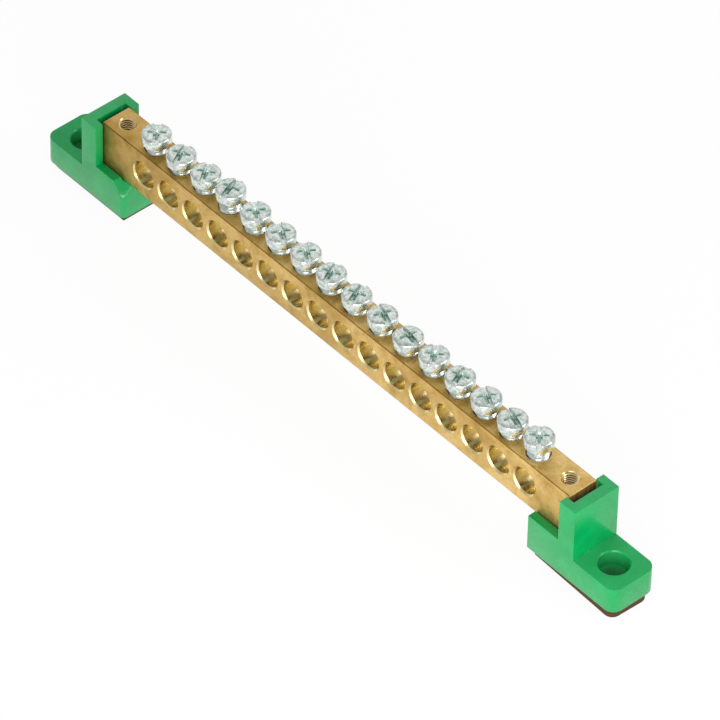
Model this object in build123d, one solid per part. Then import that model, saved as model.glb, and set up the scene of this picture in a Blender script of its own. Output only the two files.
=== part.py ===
from build123d import *
import os

# Earth terminal bar: a brass bar with sixteen screw terminals, held by a green moulded
# holder at each end. Sizes in mm. X runs along the bar, Z is up, and the origin is the
# middle of the underside, on the surface that the bar is mounted on.

# The surfaces that everything is stacked on
pad_thickness = 1.3
floor_thickness = 6.7
play = 0.05

# Brass bar
bar_length = 118.4
bar_width = 6.0
bar_height = 9.6
bar_edge = 0.2
terminal_count = 16
terminal_pitch = 6.45
wire_hole_radius = 2.5
end_hole_inset = 3.1

# Terminal screws, M4 with a small cylinder head. Their length follows further down.
screw_radius = 2.0
screw_clearance = 0.03
head_radius = 2.65
head_height = 2.1
slot_width = 1.1
slot_depth = 0.85
cross_reach = 1.75
cross_width = 0.65
cross_depth = 1.3

# How far each head stands off the bar, and how far each slot is turned from the bar's
# length, from left to right: no two were driven alike
head_lifts = (1.5, 1.25, 1.55, 2.5, 1.8, 1.5, 1.65, 1.55, 1.35, 1.4, 1.1, 1.6, 1.45, 1.5, 1.35, 2.15)
slot_turns = (135, 117, 126, 108, 146, 151, 148, 115, 112, 162, 171, 131, 110, 153, 164, 135)

# Fixing screws, M3 pan heads that hold the bar down from below
fixing_radius = 1.5
fixing_clearance = 0.02
fixing_core_radius = 1.25
fixing_grip = 4.3
fixing_head_radius = 2.8
fixing_head_height = 2.2
fixing_seat_depth = 3.2
fixing_recess_reach = 1.5
fixing_recess_depth = 1.2
fixing_head_play = 0.4
fixing_shank_play = 0.2

# Holders: a foot, an end wall, two lips round the bar's end and two low cheeks under it
holder_width = 9.7
slot_side_play = 0.25
end_gap = 1.3
wall_thickness = 2.05
wall_below_bar_top = 0.2
lip_depth = 1.7
cheek_reach = 7.2
cheek_rise = 0.6
foot_reach = 9.85
foot_below_bar = 1.55
foot_corner_radius = 2.0
mould_edge = 0.3
cheek_corner_radius = 0.9
slope_reach = 2.5
slope_drop = 2.5
slope_inner_drop = 1.2

# The foot's stepped hole for the mounting screw
foot_hole_inset = 4.65
foot_hole_radius = 2.15
foot_hole_mouth_radius = 2.7
foot_hole_mouth_depth = 3.0

# Pads under the holders, stuck on by hand: the right one is turned, in degrees, and shifted
# towards the foot's end and the front
pad_inset = 0.75
pad_hole_radius = 3.2
pad_turn = 2.0
pad_shift = 0.6
pad_front_shift = 0.4

# Sizes that follow from the ones above. The screws end just short of the wire holes, which
# they leave open.
holder_bottom = pad_thickness
bar_bottom = holder_bottom + floor_thickness
bar_top = bar_bottom + bar_height
bar_middle = bar_bottom + bar_height / 2
bar_end = bar_length / 2
wire_hole_crown = bar_middle + wire_hole_radius
screw_length = bar_top - wire_hole_crown + min(head_lifts) - 2 * play
wall_inner = bar_end + end_gap
wall_outer = wall_inner + wall_thickness
lip_front = wall_inner - lip_depth
cheek_end = lip_front - cheek_reach
foot_end = wall_outer + foot_reach
foot_top = bar_bottom - foot_below_bar
wall_top = bar_top - wall_below_bar_top
cheek_top = bar_bottom + cheek_rise
bar_slot_width = bar_width + 2 * slot_side_play
end_hole_x = bar_end - end_hole_inset
foot_hole_x = wall_outer + foot_hole_inset
fixing_seat = holder_bottom + fixing_seat_depth
fixing_tip = bar_bottom + fixing_grip


def terminal_x(index):
    return (index - (terminal_count - 1) / 2) * terminal_pitch


def upright(radius, low, high, x=0.0, y=0.0):
    return Pos(x, y, (low + high) / 2) * Cylinder(radius, high - low)


# Brass bar: a drawn strip, sawn to length, cross drilled for the wires and tapped from above
def make_bar():
    strip = extrude(Plane.YZ * Rectangle(bar_width, bar_height), bar_end, both=True)
    strip = chamfer(strip.edges(), bar_edge)
    bar = Pos(0, 0, bar_middle) * strip
    wire_hole = Rot(90, 0, 0) * Cylinder(wire_hole_radius, 2 * bar_width)
    tapping = upright(screw_radius + screw_clearance, bar_middle, bar_top + 1)
    for index in range(terminal_count):
        bar -= Pos(terminal_x(index), 0, bar_middle) * wire_hole
        bar -= Pos(terminal_x(index), 0, 0) * tapping
    for side in (-1, 1):
        bar -= upright(fixing_core_radius, bar_bottom - 1, bar_top + 1, side * end_hole_x)
        bar -= upright(fixing_radius + fixing_clearance, bar_bottom - 1, fixing_tip + play, side * end_hole_x)
    return bar


# A cross recess with its mouth at z = 0, and as much again above it
def cross_recess(reach, width, depth):
    arm = Box(2 * reach, width, 2 * depth)
    return arm + Rot(0, 0, 90) * arm


# Terminal screw, with the underside of its head at z = 0: a cylinder head with a straight
# slot right across it, and a cross recess in the middle with two of its arms in the slot
def make_terminal_screw():
    head = upright(head_radius, 0, head_height)
    shank = upright(screw_radius, -screw_length, 0)
    slot = Pos(0, 0, head_height) * Box(3 * head_radius, slot_width, 2 * slot_depth)
    recess = Pos(0, 0, head_height) * cross_recess(cross_reach, cross_width, cross_depth)
    return head + shank - slot - recess


# Pan head screw that comes up through the holder's floor into the bar's end hole
def make_fixing_screw():
    head_bottom = fixing_seat - fixing_head_height
    head = upright(fixing_head_radius, head_bottom, fixing_seat)
    shank = upright(fixing_radius, fixing_seat - play, fixing_tip)
    recess = Pos(0, 0, head_bottom) * cross_recess(fixing_recess_reach, cross_width, fixing_recess_depth)
    return head + shank - recess


# Right holder, one moulding
def make_holder():
    profile = Polyline(
        (cheek_end, holder_bottom),
        (foot_end, holder_bottom),
        (foot_end, foot_top),
        (wall_outer, foot_top),
        (wall_outer, wall_top),
        (lip_front, wall_top),
        (lip_front, cheek_top),
        (cheek_end, cheek_top),
        close=True,
    )
    body = extrude(Plane.XZ * make_face(profile), holder_width / 2, both=True)
    body = fillet(body.edges().filter_by(Axis.Z).group_by(Axis.X)[-1], foot_corner_radius)
    far_cheek_edge = body.edges().filter_by(Axis.Z).group_by(Axis.X)[0].sort_by(Axis.Y)[-1]
    body = fillet(far_cheek_edge, cheek_corner_radius)
    top_rim = body.faces().filter_by(Axis.Z).sort_by(Axis.Z)[-1]
    body = chamfer(top_rim.edges(), mould_edge)
    foot_face = body.faces().filter_by(Axis.Z).filter_by_position(Axis.Z, foot_top - 0.1, foot_top + 0.1)[0]
    foot_rim = foot_face.edges().filter_by_position(Axis.X, wall_outer + 0.2, foot_end + 1)
    body = chamfer(foot_rim, mould_edge)

    # The slot that the bar's end drops into, open at the top and towards the bar
    slot_length = wall_inner - cheek_end + 5
    slot_height = wall_top - bar_bottom + 1
    slot = Box(slot_length, bar_slot_width, slot_height, align=(Align.MAX, Align.CENTER, Align.MIN))
    body -= Pos(wall_inner, 0, bar_bottom) * slot

    # The far cheek's end slopes away, more on the outside than on the inside
    outside = Plane((0, holder_width / 2 + play, 0), x_dir=(1, 0, 0), z_dir=(0, -1, 0))
    inside = Plane((0, bar_slot_width / 2 - play, 0), x_dir=(1, 0, 0), z_dir=(0, -1, 0))
    outer_cut = outside * slope_face(slope_drop)
    inner_cut = inside * slope_face(slope_inner_drop)
    body -= loft([outer_cut, inner_cut], ruled=True)

    # Stepped hole for the mounting screw, and the seat of the screw that holds the bar
    body -= upright(foot_hole_radius, holder_bottom - 1, foot_top + 1, foot_hole_x)
    body -= upright(foot_hole_mouth_radius, foot_top - foot_hole_mouth_depth, foot_top + 1, foot_hole_x)
    body -= upright(fixing_radius + fixing_shank_play, holder_bottom - 1, bar_bottom + 1, end_hole_x)
    body -= upright(fixing_head_radius + fixing_head_play, holder_bottom - 1, fixing_seat, end_hole_x)
    return body


def slope_face(drop):
    corner = Polyline(
        (cheek_end + slope_reach, cheek_top + play),
        (cheek_end - play, cheek_top + play),
        (cheek_end - play, cheek_top - drop),
        close=True,
    )
    return make_face(corner)


# Pad under the right holder: the holder's outline, a little smaller, with the foot's hole
def make_pad():
    length = foot_end - cheek_end - 2 * pad_inset
    width = holder_width - 2 * pad_inset
    middle = (foot_end + cheek_end) / 2
    sheet = Pos(middle, 0, 0) * extrude(Rectangle(length, width), pad_thickness)
    sheet = fillet(sheet.edges().filter_by(Axis.Z).group_by(Axis.X)[-1], foot_corner_radius - pad_inset / 2)
    return sheet - upright(pad_hole_radius, -1, pad_thickness + 1, foot_hole_x)


nodes = {"brass_bar": make_bar()}

terminal_screw = make_terminal_screw()
for index in range(terminal_count):
    turned = Rot(0, 0, slot_turns[index]) * terminal_screw
    place = Pos(terminal_x(index), 0, bar_top + head_lifts[index])
    nodes[f"terminal_screw_{index + 1:02d}"] = place * turned

# The left holder is the same moulding, turned half round
half_turn = Rot(0, 0, 180)
holder = make_holder()
nodes["holder_right"] = holder
nodes["holder_left"] = half_turn * holder

fixing_screw = make_fixing_screw()
nodes["fixing_screw_right"] = Pos(end_hole_x, 0, 0) * fixing_screw
nodes["fixing_screw_left"] = Pos(-end_hole_x, 0, 0) * Rot(0, 0, 35) * fixing_screw

# The right pad was stuck on askew, so that its edge shows along the front of the foot
pad = make_pad()
pad_middle = (foot_end + cheek_end) / 2
askew = Pos(pad_middle + pad_shift, -pad_front_shift, 0) * Rot(0, 0, -pad_turn) * Pos(-pad_middle, 0, 0)
nodes["base_pad_right"] = askew * pad
nodes["base_pad_left"] = half_turn * pad

os.makedirs("parts", exist_ok=True)
for name, solid in nodes.items():
    export_step(solid, f"parts/{name}.step")
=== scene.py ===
import bpy
import math
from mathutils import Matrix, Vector


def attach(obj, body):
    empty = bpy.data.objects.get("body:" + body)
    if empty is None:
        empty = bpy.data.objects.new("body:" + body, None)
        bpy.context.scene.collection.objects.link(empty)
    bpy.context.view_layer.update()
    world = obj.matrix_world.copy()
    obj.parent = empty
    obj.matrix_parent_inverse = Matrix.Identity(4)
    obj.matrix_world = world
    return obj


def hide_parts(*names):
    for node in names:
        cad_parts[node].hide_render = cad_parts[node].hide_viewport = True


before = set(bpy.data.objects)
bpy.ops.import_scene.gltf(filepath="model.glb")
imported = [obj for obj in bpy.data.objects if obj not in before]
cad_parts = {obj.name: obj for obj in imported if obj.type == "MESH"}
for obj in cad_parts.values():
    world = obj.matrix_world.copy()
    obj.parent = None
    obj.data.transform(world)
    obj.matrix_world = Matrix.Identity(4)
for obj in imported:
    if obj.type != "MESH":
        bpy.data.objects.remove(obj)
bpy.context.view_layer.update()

mm = 0.001
hair = 0.01  # slack when a place is compared, in millimetres
overcut = 1  # how far a cutter reaches past the piece that it cuts, in millimetres
noiseLow, noiseHigh = 0.3, 0.7  # nearly all of a noise texture's values lie between these


# Small helpers that do what the menus do

def pickOnly(piece):
    bpy.ops.object.select_all(action="DESELECT")
    piece.select_set(True)
    bpy.context.view_layer.objects.active = piece


def settle(piece):  # the place goes into the mesh, so the object sits at the origin
    pickOnly(piece)
    bpy.ops.object.transform_apply(location=True, rotation=True, scale=True)
    return piece


def addBlock(name, low, high):  # corners in millimetres
    size = [(b - a) * mm for a, b in zip(low, high)]
    middle = [(b + a) / 2 * mm for a, b in zip(low, high)]
    bpy.ops.object.select_all(action="DESELECT")
    bpy.ops.mesh.primitive_cube_add(size=1, location=middle, scale=size)
    bpy.context.object.name = name
    return settle(bpy.context.object)


def addRod(name, radius, low, high, sides=64, x=0, lying=False):  # upright, or lying across the bar
    middle = (low + high) / 2
    place = (x, middle, 0) if lying else (x, 0, middle)
    tilt = (math.radians(-90), 0, 0) if lying else (0, 0, 0)
    bpy.ops.object.select_all(action="DESELECT")
    bpy.ops.mesh.primitive_cylinder_add(vertices=sides, radius=radius * mm, depth=(high - low) * mm,
                                        location=[v * mm for v in place], rotation=tilt)
    bpy.context.object.name = name
    return settle(bpy.context.object)


def selectFaces(piece, test):  # edit mode, with only the faces that pass the test selected
    pickOnly(piece)
    bpy.ops.object.mode_set(mode="EDIT")
    bpy.ops.mesh.select_mode(type="FACE")
    bpy.ops.mesh.select_all(action="DESELECT")
    bpy.ops.object.mode_set(mode="OBJECT")
    for face in piece.data.polygons:
        face.select = bool(test(face.center / mm, face.normal))
    bpy.ops.object.mode_set(mode="EDIT")


def selectEdges(piece, test):  # edit mode, with only the edges whose two ends pass the test
    pickOnly(piece)
    bpy.ops.object.mode_set(mode="EDIT")
    bpy.ops.mesh.select_mode(type="EDGE")
    bpy.ops.mesh.select_all(action="DESELECT")
    bpy.ops.object.mode_set(mode="OBJECT")
    corners = piece.data.vertices
    for edge in piece.data.edges:
        a, b = (corners[i].co / mm for i in edge.vertices)
        edge.select = bool(test(a, b))
    bpy.ops.object.mode_set(mode="EDIT")


def facingUp(centre, facing):
    return facing.z > 0.9


def facingDown(centre, facing):
    return facing.z < -0.9


def moveCorner(piece, corner, move):  # one corner of the mesh, found by its place
    pickOnly(piece)
    bpy.ops.object.mode_set(mode="EDIT")
    bpy.ops.mesh.select_mode(type="VERT")
    bpy.ops.mesh.select_all(action="DESELECT")
    bpy.ops.object.mode_set(mode="OBJECT")
    for point in piece.data.vertices:
        point.select = (point.co / mm - Vector(corner)).length < 2 * hair
    bpy.ops.object.mode_set(mode="EDIT")
    bpy.ops.transform.translate(value=[v * mm for v in move])
    bpy.ops.object.mode_set(mode="OBJECT")


def extrudeBy(x, y, z, scale=None):
    bpy.ops.mesh.extrude_region_move(TRANSFORM_OT_translate={"value": (x * mm, y * mm, z * mm)})
    if scale:
        bpy.ops.transform.resize(value=scale)


def leaveEdit():
    bpy.ops.object.mode_set(mode="OBJECT")


def cutPlane(piece, place, normal):  # a bisect right through the piece
    selectFaces(piece, lambda centre, facing: True)
    bpy.ops.mesh.bisect(plane_co=[v * mm for v in place], plane_no=normal, threshold=1e-7)
    leaveEdit()


def applyModifier(piece, kind, **settings):
    pickOnly(piece)
    modifier = piece.modifiers.new(kind.title(), kind)
    for name, value in settings.items():
        setattr(modifier, name, value)
    bpy.ops.object.modifier_apply(modifier=modifier.name)


def cutAway(piece, cutter):
    applyModifier(piece, "BOOLEAN", operation="DIFFERENCE", solver="EXACT", object=cutter)
    bpy.data.objects.remove(cutter)


def joinTo(piece, others):
    pickOnly(piece)
    for other in others:
        other.select_set(True)
    bpy.ops.object.join()
    return piece


def copyOf(piece, name, move=(0, 0, 0), turn=0):  # turn in degrees about the upright axis
    pickOnly(piece)
    bpy.ops.object.duplicate()
    bpy.context.object.name = name
    bpy.context.object.location = [v * mm for v in move]
    bpy.context.object.rotation_euler = (0, 0, math.radians(turn))
    return settle(bpy.context.object)


def softEdges(piece, width, angle=35, segments=3):
    applyModifier(piece, "BEVEL", width=width * mm, segments=segments, limit_method="ANGLE",
                  angle_limit=math.radians(angle), use_clamp_overlap=True)


def smoothOver(piece, angle=32):
    pickOnly(piece)
    bpy.ops.object.shade_smooth_by_angle(angle=math.radians(angle))


def threadRidge(name, centre, depth, pitch, share, low, turns, steps=40):
    # A helical ridge round the upright axis. The share of the pitch is half the ridge's height.
    bpy.ops.object.select_all(action="DESELECT")
    bpy.ops.mesh.primitive_circle_add(vertices=4, radius=depth * mm, location=(centre * mm, 0, low * mm),
                                      rotation=(math.radians(90), 0, 0))
    ridge = bpy.context.object
    ridge.name = name
    ridge.scale.y = share * pitch / depth
    settle(ridge)
    applyModifier(ridge, "SCREW", axis="Z", angle=math.tau, screw_offset=pitch * mm, iterations=turns,
                  steps=steps, render_steps=steps, use_merge_vertices=False)
    pickOnly(ridge)
    bpy.ops.object.mode_set(mode="EDIT")
    bpy.ops.mesh.select_all(action="SELECT")
    bpy.ops.mesh.fill_holes(sides=8)
    bpy.ops.mesh.normals_make_consistent(inside=False)
    leaveEdit()
    return ridge


def takePlace(piece, node):
    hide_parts(node)
    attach(piece, "root")


def dress(piece, material):
    piece.data.materials.clear()
    piece.data.materials.append(material)


def paintFaces(piece, material, test):  # another material on the faces that pass the test
    selectFaces(piece, test)
    piece.data.materials.append(material)
    piece.active_material_index = len(piece.data.materials) - 1
    bpy.ops.object.material_slot_assign()
    leaveEdit()


# Materials

def linear(hexColour):  # sRGB hex to linear light
    parts = [int(hexColour[i:i + 2], 16) / 255 for i in (1, 3, 5)]
    return [c / 12.92 if c <= 0.04045 else ((c + 0.055) / 1.055) ** 2.4 for c in parts] + [1]


def addNode(material, kind, values=None, links=None, **settings):
    node = material.node_tree.nodes.new(kind)
    for name, value in settings.items():
        setattr(node, name, value)
    for name, value in (values or {}).items():
        node.inputs[name].default_value = value
    for name, socket in (links or {}).items():
        material.node_tree.links.new(socket, node.inputs[name])
    return node


def newMaterial(name):
    material = bpy.data.materials.new(name)
    material.use_nodes = True
    material.node_tree.nodes.clear()
    return material


def shadeStops(ramp, stops):  # colour stops on a ramp, as place and hex
    line = ramp.color_ramp
    while len(line.elements) > 1:
        line.elements.remove(line.elements[0])
    line.elements[0].position = stops[0][0]
    line.elements[0].color = linear(stops[0][1])
    for place, colour in stops[1:]:
        line.elements.new(place).color = linear(colour)
    return ramp.outputs["Color"]


brassFinish = {
    "pale": "#F4D58F", "middle": "#E9C67C", "dull": "#D2B168", "rosy": "#EBBB88",
    "roughness": 0.5, "lineSpacing": 0.2, "lineDepth": 0.008, "lineStretch": 0.03,
    "stainSize": 2.6, "stainDepth": 0.03, "speckSize": 0.6, "speckShade": "#E4E1DA", "speckShare": 0.8,
    # the left-end reach and shade below are painted shade, darker towards the bar's left end
    "patchSize": 14.0, "patchShade": "#E2DBC8", "paintedShadeReach": 60, "paintedLeftShade": "#EAE7DC",
    # the corner entries are a painted shade line along each corner
    "paintedCornerShade": "#B3A272", "paintedCornerReach": 0.2,
}


# Brass strip, cold drawn: a soft metal shine with fine lines along its length, stains and
# broad dull patches where it was handled, painted shade that darkens it towards its left end,
# and a painted shade line along each corner. The real lines are finer and
# wouldn't show.
def drawnBrass(width, low, high):
    finish = brassFinish
    brass = newMaterial("drawnBrass")
    place = addNode(brass, "ShaderNodeTexCoord").outputs["Object"]
    along = addNode(brass, "ShaderNodeMapping", {"Scale": (finish["lineStretch"], 1, 1)},
                    {"Vector": place}).outputs["Vector"]
    line = addNode(brass, "ShaderNodeTexNoise",
                   {"Scale": 1 / (finish["lineSpacing"] * mm), "Detail": 3, "Roughness": 0.6},
                   {"Vector": along})
    stain = addNode(brass, "ShaderNodeTexNoise",
                    {"Scale": 1 / (finish["stainSize"] * mm), "Detail": 4, "Roughness": 0.62},
                    {"Vector": place})
    speck = addNode(brass, "ShaderNodeTexNoise",
                    {"Scale": 1 / (finish["speckSize"] * mm), "Detail": 3, "Roughness": 0.7},
                    {"Vector": place})
    tone = addNode(brass, "ShaderNodeValToRGB", links={"Fac": stain.outputs["Fac"]})
    toneColour = shadeStops(tone, [(0.3, finish["dull"]), (0.46, finish["middle"]), (0.6, finish["pale"]),
                                   (0.75, finish["rosy"])])
    speckShade = addNode(brass, "ShaderNodeValToRGB", links={"Fac": speck.outputs["Fac"]})
    speckColour = shadeStops(speckShade, [(0.3, finish["speckShade"]), (0.62, "#FFFFFF")])
    stained = addNode(brass, "ShaderNodeMix", {0: finish["speckShare"]}, {6: toneColour, 7: speckColour},
                      data_type="RGBA", blend_type="MULTIPLY")
    patch = addNode(brass, "ShaderNodeTexNoise", {"Scale": 1 / (finish["patchSize"] * mm), "Detail": 2},
                    {"Vector": place})
    patchShade = addNode(brass, "ShaderNodeValToRGB", links={"Fac": patch.outputs["Fac"]})
    patchColour = shadeStops(patchShade, [(0.36, finish["patchShade"]), (0.54, "#FFFFFF")])
    patchy = addNode(brass, "ShaderNodeMix", {0: 1.0}, {6: stained.outputs[2], 7: patchColour},
                     data_type="RGBA", blend_type="MULTIPLY")
    apart = addNode(brass, "ShaderNodeSeparateXYZ", links={"Vector": place})
    # painted shade: the colour darkens towards the bar's left end
    leftwardShade = addNode(brass, "ShaderNodeMapRange", {"From Min": -finish["paintedShadeReach"] * mm,
                      "From Max": finish["paintedShadeReach"] * mm},
                      {"Value": apart.outputs["X"]}, interpolation_type="SMOOTHSTEP")
    shadeLeftRamp = addNode(brass, "ShaderNodeValToRGB", links={"Fac": leftwardShade.outputs["Result"]})
    shadeLeftColour = shadeStops(shadeLeftRamp, [(0.0, finish["paintedLeftShade"]), (1.0, "#FFFFFF")])
    shadedLeft = addNode(brass, "ShaderNodeMix", {0: 1.0}, {6: patchy.outputs[2], 7: shadeLeftColour},
                        data_type="RGBA", blend_type="MULTIPLY")
    # painted shade: a dark line along each corner of the strip
    reach = finish["paintedCornerReach"] * mm
    halfWidth, halfHeight, middleHeight = width / 2 * mm, (high - low) / 2 * mm, (high + low) / 2 * mm
    sideways = addNode(brass, "ShaderNodeMath", links={0: apart.outputs["Y"]}, operation="ABSOLUTE")
    nearSide = addNode(brass, "ShaderNodeMapRange",
                       {"From Min": halfWidth - reach, "From Max": halfWidth - reach / 2},
                       {"Value": sideways.outputs[0]})
    upwards = addNode(brass, "ShaderNodeMath", {1: middleHeight}, {0: apart.outputs["Z"]},
                      operation="SUBTRACT")
    upOrDown = addNode(brass, "ShaderNodeMath", links={0: upwards.outputs[0]}, operation="ABSOLUTE")
    nearTop = addNode(brass, "ShaderNodeMapRange",
                      {"From Min": halfHeight - reach, "From Max": halfHeight - reach / 2},
                      {"Value": upOrDown.outputs[0]})
    corner = addNode(brass, "ShaderNodeMath", operation="MULTIPLY",
                     links={0: nearSide.outputs["Result"], 1: nearTop.outputs["Result"]})
    paintedCornerShade = addNode(brass, "ShaderNodeValToRGB", links={"Fac": corner.outputs[0]})
    paintedCornerColour = shadeStops(paintedCornerShade, [(0.0, "#FFFFFF"), (1.0, finish["paintedCornerShade"])])
    colour = addNode(brass, "ShaderNodeMix", {0: 1.0}, {6: shadedLeft.outputs[2], 7: paintedCornerColour},
                     data_type="RGBA", blend_type="MULTIPLY")
    rough = addNode(brass, "ShaderNodeMapRange", {"From Min": noiseLow, "From Max": noiseHigh,
                    "To Min": finish["roughness"] - 0.05, "To Max": finish["roughness"] + 0.1},
                    {"Value": speck.outputs["Fac"]})
    lines = addNode(brass, "ShaderNodeBump", {"Strength": 0.2, "Distance": finish["lineDepth"] * mm},
                    {"Height": line.outputs["Fac"]})
    dents = addNode(brass, "ShaderNodeBump", {"Strength": 0.1, "Distance": finish["stainDepth"] * mm},
                    {"Height": stain.outputs["Fac"], "Normal": lines.outputs["Normal"]})
    skin = addNode(brass, "ShaderNodeBsdfPrincipled", {"Metallic": 1.0},
                   {"Base Color": colour.outputs[2], "Roughness": rough.outputs["Result"],
                    "Normal": dents.outputs["Normal"]})
    addNode(brass, "ShaderNodeOutputMaterial", links={"Surface": skin.outputs["BSDF"]})
    return brass


# the upper entry is painted shade that darkens the wire holes upwards; white leaves the tapped holes
# unshaded
drilledFinish = {"bright": "#F6E5A8", "dark": "#E6D092", "paintedUpperShade": "#A8946E", "roughness": 0.27}
tappedFinish = {"bright": "#EBD6A2", "dark": "#D2B273", "paintedUpperShade": "#FFFFFF", "roughness": 0.22}
# the two heights bound the painted shade in the wire holes
drillMarksAndShade = {"spacing": 1.2, "shadeFrom": 12.2, "shadeTo": 14.8}


# The same brass where a drill cut it, brighter and yellower than the drawn skin, with a gloss
# of its own. In the wire holes painted shade darkens it upwards, towards the tapped holes.
def cutBrass(name, finish):
    brass = newMaterial(name)
    place = addNode(brass, "ShaderNodeTexCoord").outputs["Object"]
    marks = addNode(brass, "ShaderNodeTexNoise",
                    {"Scale": 1 / (drillMarksAndShade["spacing"] * mm), "Detail": 2, "Roughness": 0.5},
                    {"Vector": place})
    shade = addNode(brass, "ShaderNodeValToRGB", links={"Fac": marks.outputs["Fac"]})
    cutColour = shadeStops(shade, [(0.35, finish["dark"]), (0.6, finish["bright"])])
    apart = addNode(brass, "ShaderNodeSeparateXYZ", links={"Vector": place})
    # painted shade: darker upwards, between the two heights
    upwardShade = addNode(brass, "ShaderNodeMapRange",
                  {"From Min": drillMarksAndShade["shadeFrom"] * mm, "From Max": drillMarksAndShade["shadeTo"] * mm},
                  {"Value": apart.outputs["Z"]}, interpolation_type="SMOOTHSTEP")
    risingShadeRamp = addNode(brass, "ShaderNodeValToRGB", links={"Fac": upwardShade.outputs["Result"]})
    risingShadeColour = shadeStops(risingShadeRamp, [(0.0, "#FFFFFF"), (1.0, finish["paintedUpperShade"])])
    colour = addNode(brass, "ShaderNodeMix", {0: 1.0}, {6: cutColour, 7: risingShadeColour},
                     data_type="RGBA", blend_type="MULTIPLY")
    rough = addNode(brass, "ShaderNodeMapRange", {"From Min": noiseLow, "From Max": noiseHigh,
                    "To Min": finish["roughness"] - 0.03, "To Max": finish["roughness"] + 0.06},
                    {"Value": marks.outputs["Fac"]})
    skin = addNode(brass, "ShaderNodeBsdfPrincipled", {"Metallic": 1.0},
                   {"Base Color": colour.outputs[2], "Roughness": rough.outputs["Result"]})
    addNode(brass, "ShaderNodeOutputMaterial", links={"Surface": skin.outputs["BSDF"]})
    return brass


sawnFinish = {"clean": "#B58A58", "brown": "#8A5B36", "roughness": 0.5, "sawSpacing": 0.3,
              "sawStretch": 0.08, "sawDepth": 0.03}


# The bar's sawn ends: rough from the saw, in upright strokes, and browner where they oxidised
def sawnBrass():
    finish = sawnFinish
    brass = newMaterial("sawnBrass")
    place = addNode(brass, "ShaderNodeTexCoord").outputs["Object"]
    upright = addNode(brass, "ShaderNodeMapping", {"Scale": (1, 1, finish["sawStretch"])},
                      {"Vector": place}).outputs["Vector"]
    strokes = addNode(brass, "ShaderNodeTexNoise",
                      {"Scale": 1 / (finish["sawSpacing"] * mm), "Detail": 3, "Roughness": 0.6},
                      {"Vector": upright})
    shade = addNode(brass, "ShaderNodeValToRGB", links={"Fac": strokes.outputs["Fac"]})
    colour = shadeStops(shade, [(0.38, finish["brown"]), (0.62, finish["clean"])])
    cuts = addNode(brass, "ShaderNodeBump", {"Strength": 0.5, "Distance": finish["sawDepth"] * mm},
                   {"Height": strokes.outputs["Fac"]})
    skin = addNode(brass, "ShaderNodeBsdfPrincipled", {"Metallic": 0.7, "Roughness": finish["roughness"]},
                   {"Base Color": colour, "Normal": cuts.outputs["Normal"]})
    addNode(brass, "ShaderNodeOutputMaterial", links={"Surface": skin.outputs["BSDF"]})
    return brass


zincFinish = {
    "bright": "#EEF2EC", "green": "#D9E6DC", "blue": "#D6E2E3", "lilac": "#E3E2E5", "worn": "#D2D9D6",
    "roughness": 0.25, "metal": 1.0, "tintSize": 0.8,
}
# painted shade for the cross: a darker, greener and less metallic zinc
recessShadeFinish = {
    "bright": "#D9E6DF", "green": "#BFD6CB", "blue": "#B5CFD5", "lilac": "#CBD3D8", "worn": "#E0E6E3",
    "roughness": 0.3, "metal": 0.45, "tintSize": 0.9,
}
# the green towards each head's middle and its reach are painted shade; the dents and pits are bumps
headBumpsAndShade = {"centreShadeReach": 1.7, "green": "#CFE1DA", "dentSize": 0.55, "dentDepth": 0.09,
            "pitSize": 0.25, "pitDepth": 0.02}
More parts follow.
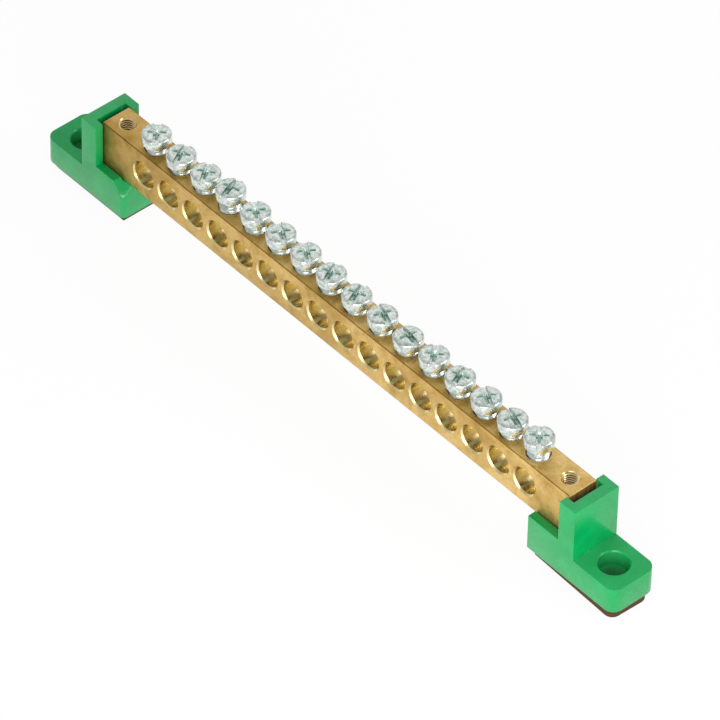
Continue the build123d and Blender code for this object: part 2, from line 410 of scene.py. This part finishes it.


# Steel screws, cold headed and zinc plated with a clear blue passivation: a bright, slightly
# milky mirror that goes from green to lilac in patches. Painted shade makes each head darker
# and greener towards its middle, and duller, greener and less metallic inside the cross. The plating's
# real grain wouldn't show, so its pits are drawn coarser. The pitch is that of the row of screws.
def zincPlatedSteel(name, finish, pitch):
    zinc = newMaterial(name)
    place = addNode(zinc, "ShaderNodeTexCoord").outputs["Object"]
    apart = addNode(zinc, "ShaderNodeSeparateXYZ", links={"Vector": place})
    inRow = addNode(zinc, "ShaderNodeMath", {1: pitch * mm, 2: 0}, {0: apart.outputs["X"]},
                    operation="WRAP")
    fromAxis = addNode(zinc, "ShaderNodeMath", {1: pitch / 2 * mm}, {0: inRow.outputs[0]},
                       operation="SUBTRACT")
    flat = addNode(zinc, "ShaderNodeCombineXYZ", links={"X": fromAxis.outputs[0], "Y": apart.outputs["Y"]})
    away = addNode(zinc, "ShaderNodeVectorMath", links={0: flat.outputs[0]}, operation="LENGTH")
    # painted shade: each head darker and greener towards its middle
    near = addNode(zinc, "ShaderNodeMapRange", {"From Max": headBumpsAndShade["centreShadeReach"] * mm},
                   {"Value": away.outputs["Value"]}, interpolation_type="SMOOTHSTEP")
    paintedMiddleShade = addNode(zinc, "ShaderNodeValToRGB", links={"Fac": near.outputs["Result"]})
    paintedMiddleColour = shadeStops(paintedMiddleShade, [(0.2, headBumpsAndShade["green"]), (1.0, "#FFFFFF")])
    tint = addNode(zinc, "ShaderNodeTexNoise",
                   {"Scale": 1 / (finish["tintSize"] * mm), "Detail": 3, "Roughness": 0.55},
                   {"Vector": place})
    shade = addNode(zinc, "ShaderNodeValToRGB", links={"Fac": tint.outputs["Fac"]})
    patches = shadeStops(shade, [(0.3, finish["blue"]), (0.43, finish["green"]), (0.52, finish["bright"]),
                                 (0.66, finish["lilac"])])
    tinted = addNode(zinc, "ShaderNodeMix", {0: 1.0}, {6: patches, 7: paintedMiddleColour},
                     data_type="RGBA", blend_type="MULTIPLY")
    coarse = addNode(zinc, "ShaderNodeTexNoise", {"Scale": 1 / (headBumpsAndShade["dentSize"] * mm), "Detail": 3},
                     {"Vector": place})
    dentShade = addNode(zinc, "ShaderNodeValToRGB", links={"Fac": coarse.outputs["Fac"]})
    dentColour = shadeStops(dentShade, [(0.4, finish["worn"]), (0.56, "#FFFFFF")])
    colour = addNode(zinc, "ShaderNodeMix", {0: 1.0}, {6: tinted.outputs[2], 7: dentColour},
                     data_type="RGBA", blend_type="MULTIPLY")
    fine = addNode(zinc, "ShaderNodeTexNoise", {"Scale": 1 / (headBumpsAndShade["pitSize"] * mm), "Detail": 3},
                   {"Vector": place})
    rough = addNode(zinc, "ShaderNodeMapRange", {"From Min": noiseLow, "From Max": noiseHigh,
                    "To Min": finish["roughness"] - 0.05, "To Max": finish["roughness"] + 0.12},
                    {"Value": fine.outputs["Fac"]})
    pits = addNode(zinc, "ShaderNodeBump", {"Strength": 0.35, "Distance": headBumpsAndShade["pitDepth"] * mm},
                   {"Height": fine.outputs["Fac"]})
    dents = addNode(zinc, "ShaderNodeBump", {"Strength": 0.6, "Distance": headBumpsAndShade["dentDepth"] * mm},
                    {"Height": coarse.outputs["Fac"], "Normal": pits.outputs["Normal"]})
    skin = addNode(zinc, "ShaderNodeBsdfPrincipled", {"Metallic": finish["metal"]},
                   {"Base Color": colour.outputs[2], "Roughness": rough.outputs["Result"],
                    "Normal": dents.outputs["Normal"]})
    addNode(zinc, "ShaderNodeOutputMaterial", links={"Surface": skin.outputs["BSDF"]})
    return zinc


plasticFinish = {"body": "#049F54", "deep": "#00944B", "polished": 0.2, "satin": 0.65,
                 "flowSize": 5.0, "waveSize": 0.6, "waveDepth": 0.02}


# Polyamide, injection moulded in a polished tool: an even leaf green with a soft gloss, faint
# flow marks and a skin that is never quite flat. Inside the holes it is satin, because the
# tool's core pins aren't polished.
def mouldedPolyamide(name, roughness):
    finish = plasticFinish
    plastic = newMaterial(name)
    place = addNode(plastic, "ShaderNodeTexCoord").outputs["Object"]
    flow = addNode(plastic, "ShaderNodeTexNoise",
                   {"Scale": 1 / (finish["flowSize"] * mm), "Detail": 2, "Distortion": 0.6},
                   {"Vector": place})
    shade = addNode(plastic, "ShaderNodeValToRGB", links={"Fac": flow.outputs["Fac"]})
    colour = shadeStops(shade, [(0.35, finish["deep"]), (0.65, finish["body"])])
    skinWave = addNode(plastic, "ShaderNodeTexNoise", {"Scale": 1 / (finish["waveSize"] * mm), "Detail": 2},
                       {"Vector": place})
    rough = addNode(plastic, "ShaderNodeMapRange", {"From Min": noiseLow, "From Max": noiseHigh,
                    "To Min": roughness - 0.04, "To Max": roughness + 0.08},
                    {"Value": skinWave.outputs["Fac"]})
    wave = addNode(plastic, "ShaderNodeBump", {"Strength": 0.06, "Distance": finish["waveDepth"] * mm},
                   {"Height": skinWave.outputs["Fac"]})
    skin = addNode(plastic, "ShaderNodeBsdfPrincipled", {"IOR": 1.53},
                   {"Base Color": colour, "Roughness": rough.outputs["Result"],
                    "Normal": wave.outputs["Normal"]})
    addNode(plastic, "ShaderNodeOutputMaterial", links={"Surface": skin.outputs["BSDF"]})
    return plastic


boardFinish = {"fibre": "#5C3A20", "dark": "#382010", "fibreSize": 0.35, "fibreLie": (0.4, 1, 2.5),
               "fibreDepth": 0.05}


# Pressboard, calendered from brown wood fibre and stamped: matt and mottled, with short
# fibres lying flat
def stampedPressboard():
    finish = boardFinish
    board = newMaterial("stampedPressboard")
    place = addNode(board, "ShaderNodeTexCoord").outputs["Object"]
    flat = addNode(board, "ShaderNodeMapping", {"Scale": finish["fibreLie"]},
                   {"Vector": place}).outputs["Vector"]
    fibre = addNode(board, "ShaderNodeTexNoise",
                    {"Scale": 1 / (finish["fibreSize"] * mm), "Detail": 5, "Roughness": 0.7},
                    {"Vector": flat})
    shade = addNode(board, "ShaderNodeValToRGB", links={"Fac": fibre.outputs["Fac"]})
    colour = shadeStops(shade, [(0.35, finish["dark"]), (0.65, finish["fibre"])])
    fuzz = addNode(board, "ShaderNodeBump", {"Strength": 0.6, "Distance": finish["fibreDepth"] * mm},
                   {"Height": fibre.outputs["Fac"]})
    skin = addNode(board, "ShaderNodeBsdfPrincipled", {"Roughness": 0.85, "IOR": 1.45},
                   {"Base Color": colour, "Normal": fuzz.outputs["Normal"]})
    addNode(board, "ShaderNodeOutputMaterial", links={"Surface": skin.outputs["BSDF"]})
    return board


# Brass bar. Heights are above the mounting surface, in millimetres, as in the solids.
bar = {
    "length": 118.4, "width": 6.0, "low": 8.0, "high": 17.6, "edge": 0.2,
    "terminals": 16, "pitch": 6.45, "wireHole": 2.5, "wireFlare": 0.28,
    "tapHole": 2.03, "tapFlare": 0.15,
    "endHoleX": 56.1, "endThread": 1.5, "endCore": 1.25, "endPitch": 0.5, "endShare": 0.32,
    "endLower": 1.52, "endStep": 12.35, "firstTurn": 0.3,
}
barMiddle = (bar["low"] + bar["high"]) / 2
endHoles = (-bar["endHoleX"], bar["endHoleX"])


def terminalX(index):
    return (index - (bar["terminals"] - 1) / 2) * bar["pitch"]


def wireDrill(index):  # a drill with a flare at each face, which takes the burr off
    half = bar["width"] / 2
    drill = addRod("wireDrill", bar["wireHole"], bar["wireFlare"] - half, half - bar["wireFlare"],
                   sides=72, lying=True)
    wider = (bar["wireHole"] + bar["wireFlare"]) / bar["wireHole"]
    for side in (-1, 1):
        selectFaces(drill, lambda centre, facing: facing.y * side > 0.9)
        extrudeBy(0, side * bar["wireFlare"], 0, scale=(wider, 1, wider))
        extrudeBy(0, side * overcut, 0)
        leaveEdit()
    drill.location = (terminalX(index) * mm, 0, barMiddle * mm)
    return settle(drill)


def tapDrill(x, radius, low, flare):  # from above, with a small countersink at the bar's top
    drill = addRod("tapDrill", radius, low, bar["high"] - flare, sides=56, x=x)
    selectFaces(drill, facingUp)
    wider = (radius + flare) / radius
    extrudeBy(0, 0, flare, scale=(wider, wider, 1))
    extrudeBy(0, 0, overcut)
    leaveEdit()
    return drill


def buildBar():
    end, side = bar["length"] / 2, bar["width"] / 2
    piece = addBlock("brassBar", (-end, -side, bar["low"]), (end, side, bar["high"]))
    softEdges(piece, bar["edge"])
    drills = [wireDrill(index) for index in range(bar["terminals"])]
    taps = [tapDrill(terminalX(index), bar["tapHole"], barMiddle, bar["tapFlare"])
            for index in range(bar["terminals"])]
    ends = [tapDrill(x, bar["endThread"], bar["low"] - overcut, bar["tapFlare"]) for x in endHoles]
    lower = [addRod("lowerDrill", bar["endLower"], bar["low"] - overcut, bar["endStep"], sides=56, x=x)
             for x in endHoles]
    for tools in (drills, taps, ends, lower):  # one cut for each kind of hole
        cutAway(piece, joinTo(tools[0], tools[1:]))

    # The end holes' thread, a ridge set a hair into the wall and cut off below the countersink
    turns = int((bar["high"] - bar["endStep"]) / bar["endPitch"]) + 1
    ridge = threadRidge("endThread", bar["endThread"] + hair, bar["endThread"] - bar["endCore"] + hair,
                        bar["endPitch"], bar["endShare"], bar["endStep"] + bar["firstTurn"], turns)
    selectFaces(ridge, lambda centre, facing: True)
    bpy.ops.mesh.bisect(plane_co=(0, 0, (bar["high"] - bar["tapFlare"]) * mm), plane_no=(0, 0, 1),
                        use_fill=True, clear_outer=True, threshold=1e-7)
    leaveEdit()
    ridges = [copyOf(ridge, "endThread", (x, 0, 0), 180 if x > 0 else 0) for x in endHoles]
    bpy.data.objects.remove(ridge)
    joinTo(piece, ridges)
    smoothOver(piece)
    return piece


def inBore(centre, facing):  # inside the strip's outline, or a flare at a hole's mouth
    side, end = bar["width"] / 2 - bar["edge"], bar["length"] / 2 - bar["edge"]
    halfHeight, fromMiddle = bar["high"] - barMiddle, abs(centre.z - barMiddle)
    corner = abs(centre.y) > side - hair and fromMiddle > halfHeight - 1.5 * bar["edge"]
    level = max(abs(facing.x), abs(facing.y), abs(facing.z)) > 0.999
    outside = abs(centre.y) > side + bar["edge"] - hair or fromMiddle > halfHeight - hair
    return abs(centre.x) < end - 5 * hair and not corner and not (level and outside)


def inEndHole(centre, facing):
    fromAxis = math.hypot(abs(centre.x) - bar["endHoleX"], centre.y)
    return inBore(centre, facing) and fromAxis < bar["endThread"] + bar["tapFlare"]


def onSawnEnd(centre, facing):
    return abs(centre.x) > bar["length"] / 2 - hair


barPiece = buildBar()
dress(barPiece, drawnBrass(bar["width"], bar["low"], bar["high"]))
paintFaces(barPiece, cutBrass("drilledBrass", drilledFinish), inBore)
paintFaces(barPiece, cutBrass("tappedBrass", tappedFinish), inEndHole)
paintFaces(barPiece, sawnBrass(), onSawnEnd)
takePlace(barPiece, "brass_bar")
print("brass bar:", len(barPiece.data.polygons), "faces")


# Terminal screw, with the underside of its head at height 0
screw = {
    "head": 2.65, "side": 1.5, "dome": 0.6, "domeRings": 6, "edge": 0.07,
    "slotWidth": 1.1, "slotDepth": 0.85,
    "crossReach": 1.75, "crossWidth": 0.65, "crossDepth": 1.3, "crossTaper": 0.6,
    "length": 3.3, "thread": 1.98, "core": 1.6, "pitch": 0.7, "share": 0.46, "firstTurn": 0.4,
    "lifts": (1.5, 1.25, 1.55, 2.5, 1.8, 1.5, 1.65, 1.55, 1.35, 1.4, 1.1, 1.6, 1.45, 1.5, 1.35, 2.15),
    "turns": (135, 117, 126, 108, 146, 151, 148, 115, 112, 162, 171, 131, 110, 153, 164, 135),
}


def crossCutter(top):
    s = screw
    arm = addBlock("crossArm", (-s["crossReach"], -s["crossWidth"] / 2, top - s["crossDepth"]),
                   (s["crossReach"], s["crossWidth"] / 2, top))
    selectFaces(arm, facingDown)
    bpy.ops.transform.resize(value=(s["crossTaper"], s["crossTaper"], 1))
    leaveEdit()
    selectFaces(arm, facingUp)
    extrudeBy(0, 0, overcut)
    leaveEdit()
    return arm


def buildScrew():
    s = screw
    piece = addRod("terminalScrew", s["head"], 0, s["side"], sides=96)
    selectFaces(piece, facingUp)
    radius, height = s["head"], 0
    for ring in range(1, s["domeRings"] + 1):  # a quarter of an ellipse, less its last, flat part
        angle = math.radians(90) * ring / (s["domeRings"] + 0.6)
        nextRadius = s["head"] * (1 - (1 - math.cos(angle)) * 0.95)
        nextHeight = s["dome"] * math.sin(angle)
        scale = nextRadius / radius
        extrudeBy(0, 0, nextHeight - height, scale=(scale, scale, 1))
        radius, height = nextRadius, nextHeight
    bpy.ops.mesh.inset(thickness=radius * 0.55 * mm)
    leaveEdit()
    top, reach, half = s["side"] + s["dome"], 1.5 * s["head"], s["slotWidth"] / 2
    cutAway(piece, addBlock("slot", (-reach, -half, top - s["slotDepth"]), (reach, half, top + overcut)))
    arm = crossCutter(top)
    across = copyOf(arm, "crossArm", turn=90)
    cutAway(piece, arm)
    cutAway(piece, across)
    softEdges(piece, s["edge"], angle=38)

    shank = addRod("shank", s["core"], -s["length"], 0.1, sides=48)
    turns = int((s["length"] - 0.2) / s["pitch"])
    ridge = threadRidge("ridge", s["core"], s["thread"] - s["core"], s["pitch"], s["share"],
                        s["firstTurn"] - s["length"], turns)
    joinTo(piece, [shank, ridge])
    smoothOver(piece)
    return piece


def inRecess(centre, facing):  # the cross: all that is below the slot's floor, and its open arms
    s = screw
    top = s["side"] + s["dome"]
    bottom, slotFloor = top - s["crossDepth"] - 0.5, top - s["slotDepth"]
    along, across = abs(centre.x), abs(centre.y)
    reach = s["crossReach"] + 5 * hair
    deep = bottom < centre.z < slotFloor - 4 * hair and math.hypot(along, across) < reach
    arm = (along < s["crossWidth"] / 2 + 4 * hair and abs(facing.z) < 0.5 and centre.z > bottom
           and s["slotWidth"] / 2 < across < reach)
    return deep or arm


zincSkin = zincPlatedSteel("zincPlatedSteel", zincFinish, bar["pitch"])
masterScrew = buildScrew()
dress(masterScrew, zincSkin)
# painted shade: the cross gets the darker, greener, less metallic zinc
paintFaces(masterScrew, zincPlatedSteel("zincWithRecessShade", recessShadeFinish, bar["pitch"]), inRecess)
for index in range(bar["terminals"]):
    place = (terminalX(index), 0, bar["high"] + screw["lifts"][index])
    piece = copyOf(masterScrew, f"terminalScrew{index + 1:02d}", place, screw["turns"][index])
    takePlace(piece, f"terminal_screw_{index + 1:02d}")
bpy.data.objects.remove(masterScrew)
print("terminal screws:", bar["terminals"])


# Right holder, one moulding with rounded edges. The left one is the same, turned half round.
holder = {
    "low": 1.3, "width": 9.7, "cheekEnd": 51.6, "lipFront": 58.8, "wallInner": 60.5, "wallOuter": 62.55,
    "footEnd": 72.4, "footTop": 6.45, "cheekTop": 8.6, "slotFloor": 8.0, "wallTop": 17.4, "slotWidth": 6.5,
    "footCorner": 2.0, "cheekCorner": 0.9, "edge": 0.22,
    "slopeReach": 2.5, "slopeDrop": 2.5, "slopeInnerDrop": 1.2,
    "footHoleX": 67.2, "footHole": 2.15, "footMouth": 2.7, "footMouthDepth": 3.0,
    "flareDepth": 0.2, "flareRise": 0.3, "flareScale": 1.11,
    "screwX": 56.1, "screwHole": 1.7, "screwSeat": 3.2, "seatTop": 4.5,
}


def upDrill(x, radius, low, high):
    return addRod("drill", radius, low, high, x=x)


def isUpright(a, b):  # an edge that rises at least half a millimetre
    return abs(a.z - b.z) > 0.5


def roundEdges(piece, test, radius, segments):
    selectEdges(piece, test)
    bpy.ops.mesh.bevel(offset=radius * mm, segments=segments, affect="EDGES")
    leaveEdit()


def slopeCutter():  # a block whose underside falls towards the cheek's end and its outside
    h = holder
    beyond = 0.5
    inner, outer = h["slotWidth"] / 2, h["width"] / 2
    end = h["cheekEnd"] - beyond
    cutter = addBlock("slope", (end, inner - beyond, h["cheekTop"]),
                      (h["cheekEnd"] + h["slopeReach"], outer + beyond, h["cheekTop"] + overcut))
    for y in (inner - beyond, outer + beyond):
        share = (y - inner) / (outer - inner)
        drop = h["slopeInnerDrop"] + share * (h["slopeDrop"] - h["slopeInnerDrop"])
        moveCorner(cutter, (end, y, h["cheekTop"]), (0, 0, -drop * (1 + beyond / h["slopeReach"])))
    return cutter


def buildHolder():
    h = holder
    half = h["width"] / 2
    piece = addBlock("holder", (h["cheekEnd"], -half, h["low"]), (h["footEnd"], half, h["footTop"]))
    for x in (h["lipFront"], h["wallOuter"]):
        cutPlane(piece, (x, 0, 0), (1, 0, 0))
    selectFaces(piece, lambda centre, facing: facing.z > 0.9 and centre.x < h["wallOuter"])
    extrudeBy(0, 0, h["cheekTop"] - h["footTop"])
    leaveEdit()
    selectFaces(piece, lambda centre, facing: facing.z > 0.9 and h["lipFront"] < centre.x < h["wallOuter"])
    extrudeBy(0, 0, h["wallTop"] - h["cheekTop"])
    leaveEdit()

    roundEdges(piece, lambda a, b: isUpright(a, b) and min(a.x, b.x) > h["footEnd"] - hair,
               h["footCorner"], 10)
    roundEdges(piece, lambda a, b: isUpright(a, b) and max(a.x, b.x) < h["cheekEnd"] + hair
               and min(a.y, b.y) > half - hair, h["cheekCorner"], 6)

    cutAway(piece, addBlock("slot", (h["cheekEnd"] - overcut, -h["slotWidth"] / 2, h["slotFloor"]),
                            (h["wallInner"], h["slotWidth"] / 2, h["wallTop"] + overcut)))
    cutAway(piece, slopeCutter())
    softEdges(piece, h["edge"], angle=40)

    cutAway(piece, upDrill(h["footHoleX"], h["footHole"], 0, h["footTop"] + overcut))
    mouth = upDrill(h["footHoleX"], h["footMouth"], h["footTop"] - h["footMouthDepth"],
                    h["footTop"] - h["flareDepth"])
    selectFaces(mouth, facingUp)
    extrudeBy(0, 0, h["flareRise"], scale=(h["flareScale"], h["flareScale"], 1))  # ends above the foot
    leaveEdit()
    cutAway(piece, mouth)
    cutAway(piece, upDrill(h["screwX"], h["screwHole"], 0, h["slotFloor"] + overcut))
    cutAway(piece, upDrill(h["screwX"], h["screwSeat"], 0, h["seatTop"]))
    smoothOver(piece)
    return piece


def inFootHole(centre, facing):
    return math.hypot(centre.x - holder["footHoleX"], centre.y) < holder["footMouth"] + 2 * hair


rightHolder = buildHolder()
dress(rightHolder, mouldedPolyamide("mouldedPolyamide", plasticFinish["polished"]))
paintFaces(rightHolder, mouldedPolyamide("coredPolyamide", plasticFinish["satin"]), inFootHole)
leftHolder = copyOf(rightHolder, "leftHolder", turn=180)
takePlace(rightHolder, "holder_right")
takePlace(leftHolder, "holder_left")
print("holders:", len(rightHolder.data.polygons), "faces each")


# Pads under the holders, with the soft edge that a stamping die leaves. The right one is askew.
pad = {"inset": 0.75, "high": 1.3, "halfWidth": 4.1, "corner": 1.6, "edge": 0.12, "hole": 3.2,
       "turn": -2.0, "shift": (0.6, -0.4)}


def buildPad():
    low, high = holder["cheekEnd"] + pad["inset"], holder["footEnd"] - pad["inset"]
    piece = addBlock("pad", (low, -pad["halfWidth"], 0), (high, pad["halfWidth"], pad["high"]))
    roundEdges(piece, lambda a, b: isUpright(a, b) and min(a.x, b.x) > high - hair, pad["corner"], 8)
    softEdges(piece, pad["edge"], angle=50)
    cutAway(piece, upDrill(holder["footHoleX"], pad["hole"], -overcut, pad["high"] + overcut))
    smoothOver(piece)
    return piece


masterPad = buildPad()
dress(masterPad, stampedPressboard())
middle = (holder["cheekEnd"] + holder["footEnd"]) / 2
turn = math.radians(pad["turn"])  # about the pad's own middle, and then shifted
askew = (middle * (1 - math.cos(turn)) + pad["shift"][0], pad["shift"][1] - middle * math.sin(turn), 0)
rightPad = copyOf(masterPad, "rightPad", askew, pad["turn"])
leftPad = copyOf(masterPad, "leftPad", turn=180)
bpy.data.objects.remove(masterPad)
takePlace(rightPad, "base_pad_right")
takePlace(leftPad, "base_pad_left")

for name in ("fixing_screw_left", "fixing_screw_right"):
    dress(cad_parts[name], zincSkin)
print("pads and fixing screws ready")


# The photographer's white table, lit softly. Sizes and places are in metres here.
studio = {
    "table": 4.8, "below": 0.00002, "paper": "#F7F7F7", "whiteShare": 0.93, "sky": 0.56,
    "lamps": {
        "keyLamp": {"watts": 1.0, "size": 0.25, "place": (0.22, -0.22, 0.11)},
        "fillLamp": {"watts": 1.0, "size": 0.9, "place": (-0.4, 0.36, 0.53)},
        "backLamp": {"watts": 0.45, "size": 0.2, "place": (0.3, 0.24, 0.3)},
    },
}


def buildStudio():
    bpy.ops.object.select_all(action="DESELECT")
    bpy.ops.mesh.primitive_plane_add(size=studio["table"], location=(0, 0, -studio["below"]))
    table = bpy.context.object
    table.name = "whiteTable"
    paper = newMaterial("whiteTable")
    path = addNode(paper, "ShaderNodeLightPath")
    matt = addNode(paper, "ShaderNodeBsdfPrincipled",
                   {"Base Color": linear(studio["paper"]), "Roughness": 0.9})
    glow = addNode(paper, "ShaderNodeEmission", {"Color": (1, 1, 1, 1), "Strength": 1.0})
    glossy = addNode(paper, "ShaderNodeMath", links={0: path.outputs["Is Camera Ray"],
                     1: path.outputs["Is Glossy Ray"]}, operation="ADD")
    clear = addNode(paper, "ShaderNodeMath", links={0: glossy.outputs[0],
                    1: path.outputs["Is Transmission Ray"]}, operation="ADD")
    seen = addNode(paper, "ShaderNodeMath", {1: studio["whiteShare"]}, {0: clear.outputs[0]},
                   operation="MULTIPLY")
    blend = addNode(paper, "ShaderNodeMixShader", links={0: seen.outputs[0], 1: matt.outputs["BSDF"],
                                                         2: glow.outputs["Emission"]})
    addNode(paper, "ShaderNodeOutputMaterial", links={"Surface": blend.outputs["Shader"]})
    table.data.materials.append(paper)

    world = bpy.data.worlds.new("softRoom")
    bpy.context.scene.world = world
    world.use_nodes = True
    world.node_tree.nodes["Background"].inputs["Color"].default_value = (1, 1, 1, 1)
    world.node_tree.nodes["Background"].inputs["Strength"].default_value = studio["sky"]


def addLamp(name, watts, size, place):  # a square lamp that points at the part
    bpy.ops.object.light_add(type="AREA", location=place)
    lamp = bpy.context.object
    lamp.name = name
    lamp.data.energy = watts
    lamp.data.size = size
    lamp.visible_camera = False
    lamp.rotation_euler = (-Vector(place)).to_track_quat("-Z", "Y").to_euler()


buildStudio()
for name, lamp in studio["lamps"].items():
    addLamp(name, **lamp)

# The camera, fitted to the photograph: angles in degrees and sizes in millimetres
view = {"azimuth": 47.764, "elevation": 44.137, "roll": 1.338, "distance": 1294.13,
        "aim": (10.604, -5.669, 14.3), "lens": 389.44, "sensor": 36, "nearest": 10}


def buildCamera():
    turn, lift = math.radians(view["azimuth"]), math.radians(view["elevation"])
    back = Vector((math.sin(turn) * math.cos(lift), -math.cos(turn) * math.cos(lift), math.sin(lift)))
    aim = Vector(view["aim"]) * mm
    bpy.ops.object.camera_add(location=aim + back * view["distance"] * mm)
    camera = bpy.context.object
    camera.rotation_euler = (-back).to_track_quat("-Z", "Y").to_euler()
    camera.rotation_euler.rotate_axis("Z", math.radians(view["roll"]))
    camera.data.lens = view["lens"]
    camera.data.sensor_width = view["sensor"]
    camera.data.clip_start = view["nearest"] * mm
    bpy.context.scene.camera = camera


buildCamera()
bpy.context.scene.view_settings.view_transform = "Standard"
print("studio and camera ready")
